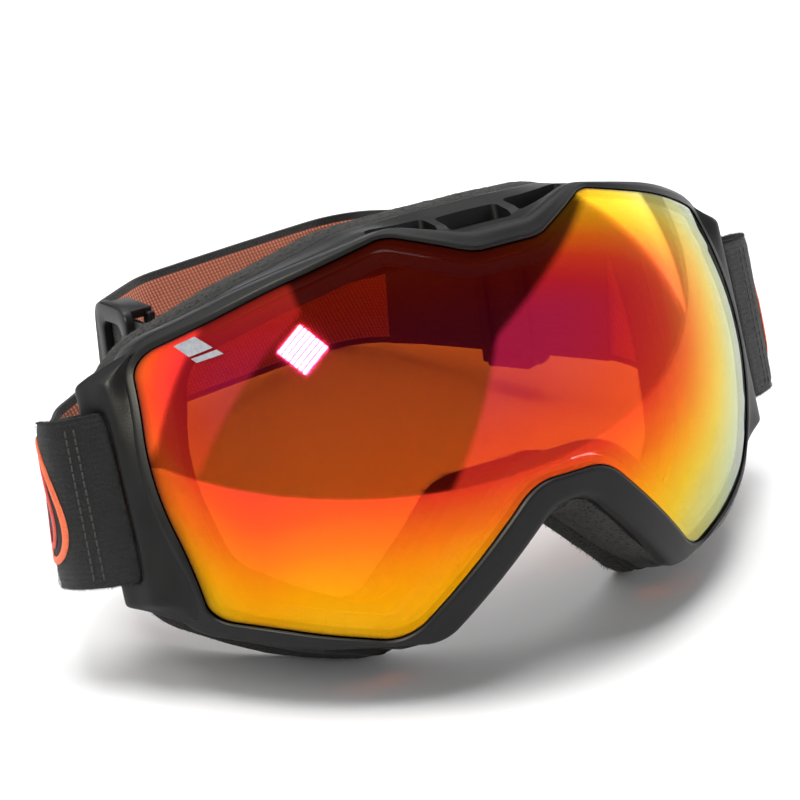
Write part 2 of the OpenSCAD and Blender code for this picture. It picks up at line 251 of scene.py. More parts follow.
def ring_faces(rows, n):
    """Quads of a tube closed both ways: rows round the section, n stations round the outline."""
    faces = []
    for j in range(rows):
        b = (j + 1) % rows
        for i in range(n):
            k = (i + 1) % n
            faces.append((j * n + i, b * n + i, b * n + k, j * n + k))
    return faces


def strip_faces(a, b, n):
    """Quads between two rows of n points that start at a and at b."""
    return [(a + i, a + i + 1, b + i + 1, b + i) for i in range(n - 1)]


def closed_strip(a, b, n):
    """Quads between two closed rows of n points that start at a and at b."""
    return [(a + i, a + (i + 1) % n, b + (i + 1) % n, b + i) for i in range(n)]


def block_faces(m, n, base=0):
    """A tube of m rows round and n points along, closed at both ends."""
    faces = []
    for j in range(m):
        faces += strip_faces(base + j * n, base + (j + 1) % m * n, n)
    return faces + [tuple(base + j * n + end for j in range(m)) for end in (0, n - 1)]


def add_materials(obj, kinds, *materials):
    """More materials after the first one, and each face's choice among them."""
    for mat in materials:
        obj.data.materials.append(mat)
    obj.data.polygons.foreach_set("material_index", np.array(kinds, np.int32))


def set_weave(obj, rows):
    """Distance along and across the cloth, in metres, for the thread materials."""
    layer = obj.data.attributes.new("weave", "FLOAT_VECTOR", "POINT")
    layer.data.foreach_set("vector", (np.concatenate(rows) * MM).astype(np.float32).ravel())


def rounded_section(loops, radii, steps=4):
    """Rounds each line of a closed section by about its radius, station by station."""
    out = []
    m = len(loops)
    for j in range(m):
        b, r = loops[j], radii[j]
        if r <= 0:
            out.append(b)
            continue
        ends = []
        for other in (loops[j - 1], loops[(j + 1) % m]):
            d = other - b
            length = np.linalg.norm(d, axis=1, keepdims=True)
            ends.append(b + d / np.maximum(length, 1e-6) * np.minimum(r, 0.45 * length))
        for t in np.linspace(0, 1, steps):
            out.append((1 - t) ** 2 * ends[0] + 2 * t * (1 - t) * b + t * t * ends[1])
    return out


def ring(name, loops, mat, replaces, radii=None, steps=4, rough=0.0, seed=0):
    """A closed ring piece in the goggles' own frame, with an optional coarse surface."""
    if radii is not None:
        loops = rounded_section(loops, radii, steps)
    points = np.concatenate(loops)
    if rough:
        points = roughened(points, len(loops), rough, seed)
    return make_object(name, on_floor(seated(points)), ring_faces(len(loops), STATIONS), mat,
                       "goggles", replaces)


def roughened(points, rows, amount, seed):
    """Moves each point of a ring a little along its own section direction, the same each run."""
    rng = np.random.default_rng(seed)
    grid = points.reshape(rows, STATIONS, 3)
    centre = grid.mean(0, keepdims=True)
    out = unit(grid - centre)
    fine = rng.normal(0, 1, grid.shape[:2])
    coarse = rng.normal(0, 1, grid.shape[:2])
    for _ in range(3):
        coarse = (np.roll(coarse, 1, 0) + np.roll(coarse, -1, 0) + np.roll(coarse, 1, 1)
                  + np.roll(coarse, -1, 1) + coarse) / 5
    return (grid + out * (fine * 0.35 + coarse * 1.6)[..., None] * amount).reshape(-1, 3)


# ---- material helpers

class Nodes:
    """A short way to write a node tree."""

    def __init__(self, name, tree=None):
        if tree is None:
            self.mat = bpy.data.materials.new(name)
            self.mat.use_nodes = True
            tree = self.mat.node_tree
        self.tree = tree
        self.tree.nodes.clear()

    def add(self, kind, inputs=None, **props):
        node = self.tree.nodes.new(kind)
        for key, value in props.items():
            setattr(node, key, value)
        for key, value in (inputs or {}).items():
            if isinstance(value, bpy.types.NodeSocket):
                self.tree.links.new(value, node.inputs[key])
            else:
                node.inputs[key].default_value = value
        return node

    def maths(self, op, a, b=0.0, c=0.5, clamp=False):
        return self.add("ShaderNodeMath", {0: a, 1: b, 2: c}, operation=op,
                        use_clamp=clamp).outputs[0]

    def times(self, a, b):
        return self.maths("MULTIPLY", a, b)

    def plus(self, a, b):
        return self.maths("ADD", a, b)

    def place(self):
        return self.add("ShaderNodeTexCoord").outputs["Object"]

    def weave(self):
        """How far along and across the cloth a point lies, in metres."""
        weave = self.add("ShaderNodeAttribute", attribute_name="weave").outputs["Vector"]
        return self.add("ShaderNodeSeparateXYZ", {0: weave}).outputs[:2]

    def wave(self, across, length):
        """A sine with its length in mm."""
        return self.maths("SINE", self.times(across, 2 * math.pi / (length * MM)))

    def noise(self, scale, detail=3.0, rough=0.6, vector=None):
        return self.add("ShaderNodeTexNoise", {
            "Scale": scale, "Detail": detail, "Roughness": rough,
            "Vector": vector or self.place()}).outputs[0]

    def ramp(self, fac, stops):
        """stops are places with linear colours."""
        node = self.add("ShaderNodeValToRGB", {"Fac": fac})
        elements = node.color_ramp.elements
        for place, _ in stops[:-2]:
            elements.new(place)
        for i, (place, colour) in enumerate(stops):
            elements[i].position = place
            elements[i].color = (*colour, 1)
        return node.outputs[0]

    def tones(self, fac, low, dark, high, light):
        """A ramp between two display colours."""
        return self.ramp(fac, [(low, srgb(*dark)), (high, srgb(*light))])

    def bump(self, height, strength, distance):
        return self.add("ShaderNodeBump", {"Height": height, "Strength": strength,
                                           "Distance": distance * MM}).outputs[0]

    def surface(self, **inputs):
        names = {"color": "Base Color", "metallic": "Metallic", "rough": "Roughness",
                 "normal": "Normal", "alpha": "Alpha", "sheen": "Sheen Weight",
                 "sheen_rough": "Sheen Roughness", "specular": "Specular IOR Level",
                 "coat": "Coat Weight", "coat_rough": "Coat Roughness",
                 "transmission": "Transmission Weight", "ior": "IOR"}
        shader = self.add("ShaderNodeBsdfPrincipled", {names[k]: v for k, v in inputs.items()})
        out = self.add("ShaderNodeOutputMaterial")
        self.tree.links.new(shader.outputs[0], out.inputs["Surface"])
        return self.mat


def srgb(r, g, b):
    """A display colour, 0 to 255, as the linear colour that shaders take."""
    return tuple((c / 255 / 12.92) if c <= 10 else ((c / 255 + 0.055) / 1.055) ** 2.4
                 for c in (r, g, b))


def plastic(name, dark, light, rough, grain):
    """Moulded plastic with a fine spark-eroded grain and faint handling wear."""
    n = Nodes(name)
    fine = n.noise(2600, 2, 0.7)
    wear = n.noise(55, 5, 0.65)
    colour = n.tones(wear, 0.35, dark, 0.72, light)
    gloss = n.maths("MULTIPLY_ADD", wear, 0.18, rough - 0.09)
    return n.surface(color=colour, rough=gloss, normal=n.bump(fine, grain, 0.12), specular=0.2)


def foam(name, dark, light, cell, depth, sheen=0.0):
    """Open cell foam: dark pits between lighter struts."""
    n = Nodes(name)
    where = n.place()
    pits = n.add("ShaderNodeTexVoronoi", {"Vector": where, "Scale": 1000 / cell}).outputs[0]
    soft = n.noise(900 / cell, 4, 0.7, where)
    height = n.plus(pits, soft)
    colour = n.tones(n.times(height, 0.62), 0.25, dark, 0.62, light)
    return n.surface(color=colour, rough=0.96, normal=n.bump(height, 0.75, depth), sheen=sheen,
                     specular=0.2)


def brushed(name, dark, light, sheen):
    """Brushed knit: short fibres over a fine rib, with a few pale lint specks."""
    n = Nodes(name)
    rib = n.wave(n.weave()[1], 1.3)
    fibre = n.noise(1900, 4, 0.8)
    patch = n.noise(120, 3, 0.6)
    height = n.plus(fibre, n.times(rib, 0.12))
    tone = n.plus(n.times(fibre, 0.7), n.times(patch, 0.3))
    lint = tuple(min(1, 5 * c) for c in srgb(*light))
    base = n.ramp(tone, [(0.36, srgb(*dark)), (0.62, srgb(*light)), (0.76, lint)])
    return n.surface(color=base, rough=0.95, normal=n.bump(height, 0.8, 0.5), sheen=sheen,
                     sheen_rough=0.6, specular=0.15)


def knit(name, dark, light):
    """Elastic webbing seen from the inside: lengthwise ribs of small slanted stitches."""
    n = Nodes(name)
    along, across = n.weave()
    slant = n.plus(n.times(along, 2 * math.pi / (1.25 * MM)),
                   n.times(across, 2 * math.pi / (2.6 * MM)))
    rows = n.maths("ABSOLUTE", n.wave(across, 1.9))
    stitch = n.maths("MULTIPLY_ADD", n.maths("SINE", slant), 0.5, 0.5)
    height = n.plus(n.times(rows, stitch), n.times(n.noise(2400, 3, 0.7), 0.35))
    colour = n.tones(height, 0.12, dark, 0.85, light)
    return n.surface(color=colour, rough=0.9, normal=n.bump(height, 0.7, 0.4), sheen=0.15,
                     specular=0.2)


def satin_stitch(name, dark, light):
    """Embroidery thread laid side by side."""
    n = Nodes(name)
    height = n.plus(n.wave(n.weave()[0], 0.45), n.times(n.noise(1500, 3), 1.5))
    colour = n.tones(n.maths("MULTIPLY_ADD", height, 0.25, 0.5), 0.1, dark, 0.6, light)
    return n.surface(color=colour, rough=0.55, normal=n.bump(height, 0.6, 0.15), sheen=0.2)


# The coating's run of colour, from magenta over orange and yellow to pale blue
FILM = [(0.0, (196, 34, 78)), (0.16, (214, 36, 48)), (0.33, (232, 62, 34)),
        (0.48, (243, 112, 22)), (0.62, (248, 168, 8)), (0.74, (240, 205, 30)),
        (0.87, (214, 224, 140)), (1.0, (196, 222, 232))]


def lens_coating():
    """Mirror film whose colour runs over the lens, inside a thin dark border."""
    n = Nodes("lens_coating")
    film = n.add("ShaderNodeAttribute", attribute_name="film").outputs["Fac"]
    border = n.add("ShaderNodeAttribute", attribute_name="border").outputs["Fac"]
    drift = n.times(n.maths("SUBTRACT", n.noise(22, 2, 0.5), 0.5), 0.12)
    speckle = n.times(n.maths("SUBTRACT", n.noise(2200, 2, 0.8), 0.5), 0.10)
    place = n.maths("ADD", film, n.plus(drift, speckle), clamp=True)
    colour = n.ramp(place, [(at, srgb(*shade)) for at, shade in FILM])
    dark = n.add("ShaderNodeMix", {0: border, 6: colour, 7: (*srgb(16, 15, 17), 1)},
                 data_type="RGBA").outputs[2]
    alpha = n.maths("MULTIPLY_ADD", border, 0.52, 0.48)
    scratch = n.noise(160, 2, 0.5, n.add("ShaderNodeMapping", {
        "Vector": n.place(), "Rotation": (0.3, 0.9, 0.4), "Scale": (1, 14, 60)}).outputs[0])
    lines = n.ramp(scratch, [(0.70, (0, 0, 0)), (0.76, (1, 1, 1))])
    rough = n.maths("MULTIPLY_ADD", lines, 0.10, 0.035)
    return n.surface(color=dark, metallic=1.0, rough=rough, alpha=alpha)


def amber_pane():
    n = Nodes("inner_pane")
    haze = n.maths("MULTIPLY_ADD", n.noise(40, 3), 0.05, 0.02)
    tint = n.ramp(n.noise(14, 2), [(0.3, (0.86, 0.15, 0.012)), (0.7, (0.92, 0.19, 0.02))])
    return n.surface(color=tint, rough=haze, transmission=1.0, ior=1.04)


def printed_tag():
    n = Nodes("printed_tag")
    tone = n.tones(n.noise(700, 4), 0.3, (128, 131, 137), 0.7, (158, 161, 167))
    return n.surface(color=tone, rough=0.38, normal=n.bump(n.noise(1200), 0.1, 0.05))


def pale_floor():
    n = Nodes("pale_floor")
    tone = n.ramp(n.noise(3, 2), [(0.3, (0.86, 0.86, 0.86)), (0.7, (0.89, 0.89, 0.89))])
    return n.surface(color=tone, rough=0.7, specular=0.2)


MAT_FRAME = plastic("frame_plastic", (9, 9, 10), (18, 18, 20), 0.42, 0.4)
MAT_SLIDER = plastic("slider_plastic", (15, 15, 16), (26, 26, 28), 0.36, 0.25)
MAT_FOAM = foam("face_foam", (10, 10, 10), (58, 57, 56), 0.95, 0.5)
MAT_BASE = foam("base_foam", (10, 10, 10), (46, 46, 46), 0.8, 0.4)
MAT_VENT = foam("vent_foam", (40, 40, 42), (110, 111, 113), 0.7, 0.3)
MAT_FLEECE = foam("fleece", (10, 10, 11), (52, 52, 54), 0.6, 0.6, sheen=0.3)
MAT_GASKET = foam("gasket_foam", (12, 12, 13), (38, 38, 40), 0.4, 0.2)
MAT_STRAP = brushed("strap_outside", (8, 8, 9), (27, 27, 29), 0.2)
MAT_KNIT = knit("strap_inside", (160, 80, 56), (230, 148, 116))
MAT_STITCH = satin_stitch("embroidery_orange", (176, 44, 14), (248, 104, 40))
MAT_STITCH_RED = satin_stitch("embroidery_red", (140, 24, 18), (226, 58, 40))
MAT_THREAD = satin_stitch("thread", (6, 6, 7), (20, 20, 21))
MAT_LENS = lens_coating()
MAT_INNER = amber_pane()
MAT_TAG = printed_tag()


# ---- lenses

def set_attribute(obj, name, values):
    layer = obj.data.attributes.new(name, "FLOAT", "POINT")
    layer.data.foreach_set("value", np.asarray(values, np.float32))


def film_place(x, z):
    """Where a point of the lens lies on the coating's run of colour: 0 magenta, 1 pale blue."""
    right = 0.95 * smooth(x, -6, 84) ** 1.4
    left = 0.42 * smooth(-x, 66, 84)
    low = 0.66 * smooth(-z, -14, 42)
    high = smooth(z, 18, 44) * (0.34 + 0.26 * smooth(x, -20, 22))
    return np.clip(1 - (1 - right) * (1 - left) * (1 - low) * (1 - high), 0, 1)


def pane(name, outline, radius, thick, mat, replaces, bands=26, coated=False):
    """A spherical lens: bands of the outline shrink to its middle, front and back."""
    middle = np.array([0.0, 6.0])
    shares = 1 - (np.arange(bands) / bands) ** 0.85
    lines = [middle + (outline - middle) * s for s in shares]
    front, back = (np.concatenate([ball(l, r) for l in lines] + [ball(middle[None], r)])
                   for r in (radius, radius - thick))
    count = len(front)
    faces = []
    for offset in (0, count):
        for row in range(offset, offset + (bands - 1) * STATIONS, STATIONS):
            faces += closed_strip(row, row + STATIONS, STATIONS)
        last = offset + (bands - 1) * STATIONS
        faces += [(last + i, last + (i + 1) % STATIONS, offset + count - 1)
                  for i in range(STATIONS)]
    faces += closed_strip(0, count, STATIONS)
    points = np.concatenate([front, back])
    obj = make_object(name, seated(points), faces, mat, "goggles", replaces, 30)
    if coated:
        set_attribute(obj, "film", film_place(points[:, 0], points[:, 2]))
        # How far inside the border each point is; the middle point is well inside
        edge = np.concatenate([np.linalg.norm(l - outline, axis=1) - LENS_BORDER for l in lines]
                              + [np.array([40.0])])
        edge = np.concatenate([edge, edge])
        set_attribute(obj, "border", 1 - smooth(edge, -0.15, 0.15))
    return obj


def lenses():
    # Fine bands close to the edge carry the border
    pane("outer_lens_coated", LENS, LENS_R, LENS_T, MAT_LENS, ["outer_lens"], 90, True)
    outside, inside = grown(LENS, -SPACER_IN), grown(LENS, -SPACER_IN - SPACER_W)
    pane("inner_lens_clear", outside, INNER_R, INNER_T, MAT_INNER, ["inner_lens"])
    top, bottom = LENS_R - LENS_T - 0.2, INNER_R + 0.2
    ring("lens_gasket", [ball(outside, top), ball(outside, bottom), ball(inside, bottom),
                         ball(inside, top)], MAT_GASKET, ["lens_spacer"],
         [0.6] * 4, rough=0.04, seed=3)


def lens_tag():
    """A plain slanted tag with a thinner plain bar below it, printed on the lens."""
    shapes = [[(-72.4, 31.4), (-68.6, 32.6), (-66.5, 29.4), (-70.8, 28.4)],
              [(-66.0, 28.8), (-65.2, 27.6), (-70.0, 26.8), (-70.6, 27.9)]]
    verts, faces = [], []
    n = 10
    for shape in shapes:
        a, b, c, d = (np.array(p) for p in shape)
        for r in (LENS_R + 0.16, LENS_R + 0.04):
            grid = [blend(blend(a, b, i / n), blend(d, c, i / n), j / n)
                    for i in range(n + 1) for j in range(n + 1)]
            base = len(verts)
            verts += list(ball(np.array(grid), r))
            for i in range(n):
                for j in range(n):
                    p = base + i * (n + 1) + j
                    faces.append((p, p + 1, p + n + 2, p + n + 1))
    make_object("lens_tag", seated(verts), faces, MAT_TAG, "goggles", ["lens_mark"])


# ---- frame

def lip_offset():
    """The lip stands further off the lens at the temples and the brow's outer part."""
    x, z = np.abs(LENS[:, 0]), LENS[:, 1]
    return 0.95 + 0.75 * smooth(x, 15, 45) * smooth(z, -34, -6)


def frame_section():
    """The frame's section lines with the radius that each is rounded by."""
    lip, rear = grown(LENS, lip_offset()), face(BACK, FOAM_T + 2)
    wall_a, wall_b, wall_c = (blend(ball(grown(RIM, d), LENS_R - 3.2), rear, t)
                              for d, t in ((-0.9, 0.25), (0, 0.30), (-0.3, 0.75)))
    inner_wall = face(grown(BACK, -FRAME_T - 1), FOAM_T + FRAME_T)
    seat = LENS_R - LENS_T
    return [
        (ball(grown(LENS, -2.2), seat - 0.1), 0), (ball(grown(LENS, 0.25), seat - 0.1), 0),
        (ball(grown(LENS, 0.25), LENS_R + 0.35), 0.25),
        (ball(lip, LENS_R + 1.0), 0.45),
        (ball(blend(lip, RIM, 0.30), LENS_R + 0.75), 0.5),
        (ball(blend(lip, RIM, 0.85), LENS_R + 0.5), 1.2),
        (ball(RIM, LENS_R - 0.8), 1.0), (ball(RIM, LENS_R - 2.6), 0.5),
        (wall_a, 0.35), (wall_b, 0.5), (wall_c, 0.8), (rear, 0.5),
        (face(grown(BACK, 0.1), FOAM_T + 0.8), 0.5),
        (face(grown(BACK, -0.8), FOAM_T), 0.3),
        (face(HOLE, FOAM_T), 0.5), (face(HOLE, FOAM_T + FRAME_T), 0.7), (inner_wall, 1.5),
        (blend(ball(grown(LENS, -0.4), LENS_R - 6), inner_wall, 0.4), 1.5),
        (ball(grown(LENS, -0.4), LENS_R - 5.6), 0.8),
        (ball(grown(LENS, -2.2), seat - 2.4), 0.3)]


def rounded_box(name, centre, size, radius):
    bm = bmesh.new()
    bmesh.ops.create_cube(bm, size=1.0)
    bmesh.ops.scale(bm, vec=Vector(size), verts=bm.verts)
    bmesh.ops.bevel(bm, geom=bm.edges[:], offset=radius, segments=5, profile=0.5,
                    affect="EDGES")
    bmesh.ops.translate(bm, vec=Vector(centre), verts=bm.verts)
    mesh = mesh_of(bm, name)
    mesh.transform(Matrix.Scale(MM, 4) @ Matrix.Translation((0, SEAT_Y, SEAT_Z))
                   @ Matrix.Rotation(-LEAN, 4, "X"))
    return linked(name, mesh)


def apply_modifiers(obj):
    dg = bpy.context.evaluated_depsgraph_get()
    mesh = bpy.data.meshes.new_from_object(obj.evaluated_get(dg))
    obj.modifiers.clear()
    old = obj.data
    obj.data = mesh
    bpy.data.meshes.remove(old)


def frame_moulding():
    parts = frame_section()
    loops = rounded_section([p for p, _ in parts], [r for _, r in parts], 4)
    obj = make_object("frame_moulding", seated(np.concatenate(loops)),
                      ring_faces(len(loops), STATIONS), MAT_FRAME)
    vents = [(0, -78, 46, 17, 12), (-19, -77, 46, 16, 12), (19, -77, 46, 16, 12),
             (-44, -62.5, -47, 20, 9), (44, -62.5, -47, 20, 9)]
    cutters = [rounded_box(f"cut_{i}", (x, y, z), (w, 7.5, tall), 1.5)
               for i, (x, y, z, w, tall) in enumerate(vents)]
    for cutter in cutters:
        tool = obj.modifiers.new("vent", "BOOLEAN")
        tool.operation, tool.object, tool.solver = "DIFFERENCE", cutter, "EXACT"
    apply_modifiers(obj)
    for cutter in cutters:
        bpy.data.objects.remove(cutter)
    shade(obj.data, 38)
    finish_piece(obj, "goggles", ["frame_shell"])


def at_station(loop, place):
    """A point of an outline at a place between two stations."""
    low = int(math.floor(place))
    return loop[low % STATIONS] * (low + 1 - place) + loop[(low + 1) % STATIONS] * (place - low)


def temple_station(z):
    """Where the rim outline passes the height z at the temple."""
    first, last = 3 * CORNER_STATIONS + ARC_STEPS, 5 * CORNER_STATIONS
    heights = RIM[first:last + 1, 1]
    return float(np.interp(-z, -heights, np.arange(first, last + 1)))


def side_arm(side):
    """The side of the frame flows from the rim out to the slot and the bar behind it."""
    ends = [3 * CORNER_STATIONS + k for k in (-9, -3, 3, 8)]
    low_ends = [5 * CORNER_STATIONS + k for k in (3, 8, 13, 20)]
    heights = [27.5, 24.5, 21.4, 20.2, 8, -8, -20.2, -21.4, -24.5, -27.5]
    places = ends + [temple_station(z) for z in heights] + low_ends
    tops = [0, 0.25, 0.6, 0.9] + [1.0] * len(heights) + [0.72, 0.38, 0.14, 0]
    on_rim = [(0.05, 0.45), (0.28, 1.0), (0.60, 0.95)]
    outer = [(86.5, -48.9), (87.9, -46.6), (89.0, -43.2), (90.1, -40.8), (90.7, -38.0)]
    slot_from = len(on_rim) + 1
    rows = len(places)
    lip = grown(LENS, lip_offset())
    verts = []
    for share, lift in on_rim:
        for place, weight in zip(places, tops):
            point = blend(at_station(lip, place), at_station(RIM, place), share)
            verts.append(ball(point[None], LENS_R + lift - 1.3 * (1 - weight))[0])
    for x, y in outer:
        for place, weight in zip(places, tops):
            rim = at_station(RIM, place)
            rest = ball((rim * 0.985)[None], LENS_R - 2.2)[0]
            z = float(np.clip(rim[1], -26.0, 27.3))
            verts.append(blend(rest, np.array([x, y, z]), weight))
    faces = []
    for i in range(len(on_rim) + len(outer) - 1):
        for j in range(rows - 1):
            if i != slot_from or not 7 <= j < 10:
                faces.append((i * rows + j, (i + 1) * rows + j, (i + 1) * rows + j + 1,
                              i * rows + j + 1))
    verts = np.array(verts) * [side, 1, 1]
    obj = make_object(f"frame_arm_{SIDE_NAME[side]}", seated(verts), faces, MAT_FRAME)
    shell = obj.modifiers.new("thick", "SOLIDIFY")
    shell.thickness, shell.offset = 2.0 * MM, -1 if side_faces_out(obj, side) else 1
    round_off = obj.modifiers.new("round", "SUBSURF")
    round_off.levels = round_off.render_levels = 3
    apply_modifiers(obj)
    obj.data.shade_smooth()
    finish_piece(obj, "goggles")


def side_faces_out(obj, side):
    """True where the plate's faces point away from the head."""
    total = sum((p.normal * p.area for p in obj.data.polygons), Vector())
    return total.dot(Vector((side * 0.5, -0.8, 0.3))) > 0


# ---- foam

def pad(name, section, mat, node, radii, steps, rough, seed):
    """A ring of foam. Each line of its section is an outline, how far it is grown, and a depth."""
    loops = [face(grown(outline, out), depth) for outline, out, depth in section]
    piece = ring(name, loops, mat, [node], radii, steps, rough, seed)


def face_foam():
    """Three layers, from the frame to the skin."""
    deep, mid, top = FOAM_T - BASE_T, FLEECE_T + CORE_T / 2, FLEECE_T + CORE_T - 0.2
    pad("foam_base_layer",
        [(BACK, 0, FOAM_T - 0.2), (BACK, 0.5, FOAM_T - BASE_T / 2), (BACK, 0, deep),
         (HOLE, 0, deep), (HOLE, 0, FOAM_T - 0.2)],
        MAT_BASE, "foam_base", [0.6, 1.5, 0.6, 0.8, 0.8], 4, 0.07, 5)
    pad("foam_face_layer",
        [(BACK, 0.2, top), (BACK, 1.0, mid + 2), (BACK, 1.3, mid), (BACK, 1.0, mid - 2),
         (BACK, 0.4, FLEECE_T), (blend(BACK, HOLE, 0.33), 0, FLEECE_T - 0.05),
         (blend(BACK, HOLE, 0.66), 0, FLEECE_T - 0.05), (HOLE, 0, FLEECE_T),
         (HOLE, -0.6, mid - 2), (HOLE, -0.9, mid), (HOLE, -0.6, mid + 2), (HOLE, 0, top)],
        MAT_FOAM, "foam_core", [0.5, 1, 1, 1, 0.5, 0, 0, 0.5, 1, 1, 1, 0.5], 3, 0.11, 7)
    outer, inner = grown(BACK, -1.2), grown(HOLE, 1.2)
    pad("fleece_layer",
        [(BACK, 0.4, FLEECE_T - 0.2), (BACK, 0.6, FLEECE_T / 2), (BACK, 0.1, 0.35), (outer, 0, 0),
         (blend(outer, inner, 0.35), 0, -0.35), (blend(outer, inner, 0.65), 0, -0.35),
         (inner, 0, 0), (HOLE, 0.1, 0.35), (HOLE, 0, FLEECE_T - 0.2)],
        MAT_FLEECE, "fleece_lining", [0.3, 0.5, 0.5, 1, 1, 1, 1, 0.5, 0.3], 4, 0.17, 9)


def foam_block(name, grid, rough, rng, mat, replaces=()):
    """Foam along part of the outline, from a grid of rows round its section by stations."""
    grid = np.array(grid)
    grid = grid + rng.normal(0, rough, grid.shape)
    piece = make_object(name, seated(grid.reshape(-1, 3)), block_faces(*grid.shape[:2]), mat,
                        "goggles", replaces)


def nose_foam():
    """Foam glued over the outside of the nose arch, from the rim back to the face foam."""
    corner_line = ball(grown(RIM, 0.15), LENS_R - 3.6)
    rear = face(grown(BACK, 0.5), FOAM_T - 1.0)
    skin = [blend(corner_line, rear, t) for t in np.linspace(0, 1, 12)]
    deep = [blend(ball(grown(RIM, -1.2), LENS_R - 4.5), face(grown(BACK, -0.9), FOAM_T - 1), t)
            for t in (1.0, 0.66, 0.33, 0.0)]
    swell = [0.0, 0.5, 0.8, 0.9, 1.0, 1.0, 1.0, 1.0, 0.9, 0.8, 0.5, 0.1]
    normals = outline_normals(RIM)
    outward = np.stack([normals[:, 0], np.zeros(STATIONS), normals[:, 1]], 1)
    first, last = 7 * CORNER_STATIONS + 10, 10 * CORNER_STATIONS + 2
    columns = np.arange(first, last + 1)
    fade = smooth(np.minimum(columns - first, last - columns), 0, 9)
    rng = np.random.default_rng(33)
    grid = []
    for line, amount in zip(skin, swell):
        lift = (amount * 1.5 + 0.35) * fade - 0.9 * (1 - fade)
        grid.append(line[columns] + outward[columns] * lift[:, None])
    grid += [line[columns] for line in deep]
    foam_block("nose_foam", grid, 0.10, rng, MAT_FOAM)


def fibres(name, root, tip, thickness, rng, mat, body):
    """Short bent hairs from each root to its tip."""
    count = len(root)
    across = np.cross(tip - root, rng.normal(0, 1, (count, 3)))
    side = unit(across) * thickness
    middle = (root + tip) / 2 + rng.normal(0, 0.16, (count, 3))
    verts = np.stack([root - side, root + side, middle + side * 0.8, middle - side * 0.8, tip], 1)
    verts = on_floor(verts)
    faces = []
    for b in range(0, 5 * count, 5):
        faces += [(b, b + 1, b + 2, b + 3), (b + 3, b + 2, b + 4)]
    return make_object(name, verts.reshape(-1, 3), faces, mat, body)


def fleece_fibres():
    """Short loose fibres along the fleece's outer and inner edge."""
    rng = np.random.default_rng(21)
    roots, tips = [], []
    for loop, outward, count in ((BACK, 1, 9000), (HOLE, -1, 3500)):
        normals = outline_normals(loop) * outward
        at = rng.uniform(0, STATIONS, count)
        i = at.astype(int) % STATIONS
        t = (at - np.floor(at))[:, None]
        j = (i + 1) % STATIONS
        place = loop[i] * (1 - t) + loop[j] * t
        out = unit(normals[i] * (1 - t) + normals[j] * t)
        root = face(place + out * 0.25, 0)
        root[:, 1] -= rng.uniform(0.1, 2.2, count)
        direction = np.stack([out[:, 0], rng.normal(0.05, 0.5, count), out[:, 1]], 1)
        direction += rng.normal(0, 0.55, (count, 3))
        roots.append(root)
        tips.append(root + unit(direction) * rng.uniform(0.4, 1.2, (count, 1)))
    root, tip = seated(np.concatenate(roots)), seated(np.concatenate(tips))
    fibres("fleece_fibres", root, tip, 0.045, rng, MAT_FLEECE, "goggles")


def vent_foams():
    """Filter foam behind the brow and chin vents, bulging a little into the openings."""
    def inside(d, t, swell=0.0):
        front = ball(grown(LENS, -0.9 - d + swell), LENS_R - 8.6)
        rear = face(grown(BACK, -FRAME_T - 1.5 - d + swell), FOAM_T + FRAME_T + 0.6)
        return blend(front, rear, t)
    spans = {"brow_vent_foam": (15 * CORNER_STATIONS, STATIONS + 3 * CORNER_STATIONS),
             "chin_vent_foam_right": (6 * CORNER_STATIONS, 7 * CORNER_STATIONS),
             "chin_vent_foam_left": (11 * CORNER_STATIONS - STRAIGHT_STEPS,
                                     12 * CORNER_STATIONS - STRAIGHT_STEPS)}
    for seed, (name, (first, last)) in enumerate(spans.items()):
        loops = [inside(0, 0.12), inside(0, 0.3, 0.5), inside(0, 0.5, 0.7), inside(0, 0.7, 0.5),
                 inside(0, 0.88), inside(3.6, 0.88), inside(3.6, 0.5), inside(3.6, 0.12)]
        rng = np.random.default_rng(40 + seed)
        columns = np.arange(first, last + 1) % STATIONS
        foam_block(name + "_soft", [l[columns] for l in loops], 0.09, rng, MAT_VENT,
                   [name])


# ---- strap

FOLD_LEFT = (-102.8, -33.2, 6)
BEND_LEFT = (-86.5, -7, 12)
BULGE_BACK = (-24, 73, 25)
BEND_BACK = (51, 95.9, 13)
BEND_RIGHT = (95, -8, 30)
FOLD_RIGHT = (101.9, -33, 6)
PATH_STEP = 1.5
# The straight run behind the left temple, which the left adjuster slides along
RUN_X = -46.5
RUN_START = (RUN_X, 17, 7)
# The middle of the right adjuster's run
RIGHT_RUN = (73.6, 42.5)


def drop(y):
    dip = np.where(y < 14, 6 * np.sin(math.pi * (y + 37) / 51) ** 2, 0)
    return 16.3 - SLOPE * (y + 37) - dip - np.where(y > 62, 0.0021 * (y - 62) ** 2, 0)


def tilt(x, y):
    right = np.clip(20 - (y + 20) * 0.6, 5, 20)
    left = np.clip(16 - (y + 36) * 0.7, 5, 16)
    return np.where(x > 0, right, left)


def resampled(values, step):
    """Rows of x, y, z, tilt at even steps along the line."""
    lengths = arc_length(values[:, :3])
    at = np.linspace(0, lengths[-1], max(3, int(lengths[-1] / step) + 1))
    return np.stack([np.interp(at, lengths, values[:, k]) for k in range(values.shape[1])], 1)


def relaxed(values, rounds):
    """Takes small kinks out of a line, its two ends held."""
    out = values.copy()
    for _ in range(rounds):
        out[1:-1] = out[1:-1] * 0.5 + (out[:-2] + out[2:]) * 0.25
    return out


def band_line(points):
    """Centre line and tilt of the strap along a plan path."""
    path = open_path(points, PATH_STEP)
    x, y = path[:, 0], path[:, 1]
    return np.stack([x, y + SEAT_Y, drop(y) + SEAT_Z, tilt(x, y)], 1)


def run_line(points, rounds):
    """The same at even steps, with its kinks eased."""
    return relaxed(resampled(band_line(points), PATH_STEP), rounds)


